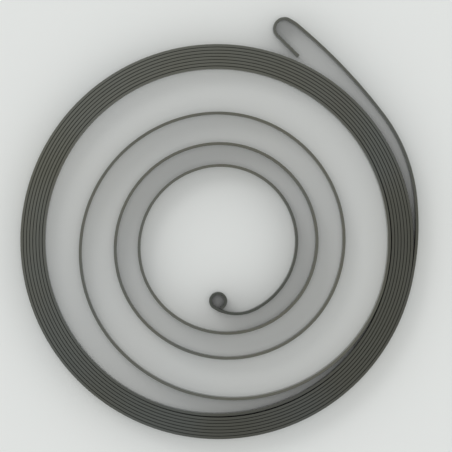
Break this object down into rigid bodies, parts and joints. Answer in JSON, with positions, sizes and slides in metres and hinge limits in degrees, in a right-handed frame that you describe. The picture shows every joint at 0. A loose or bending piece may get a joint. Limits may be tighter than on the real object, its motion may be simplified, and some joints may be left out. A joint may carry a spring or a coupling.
{
  "type": "recoil starter spring",
  "caption": "Flat spiral rewind spring of steel strip for a pull starter, with a rolled eye at its inner end and a hairpin hook at its outer end.",
  "frame": {"origin": "centre of the tight wraps, on the plane of the strip's lower edge, where the drum's axis passes", "axes": "+Z along the coil's axis, +X to the right and +Y up in the view that looks down on it; the strip leaves for its hook at the upper right"},
  "size_m": [0.0797, 0.0845, 0.0065],
  "materials": {
    "spring_steel": "hardened and tempered, dark grey oxide, lightly oiled"
  },
  "bodies": {
    "root": {"spring_strip": "spring_steel"}
  },
  "joints": []
}
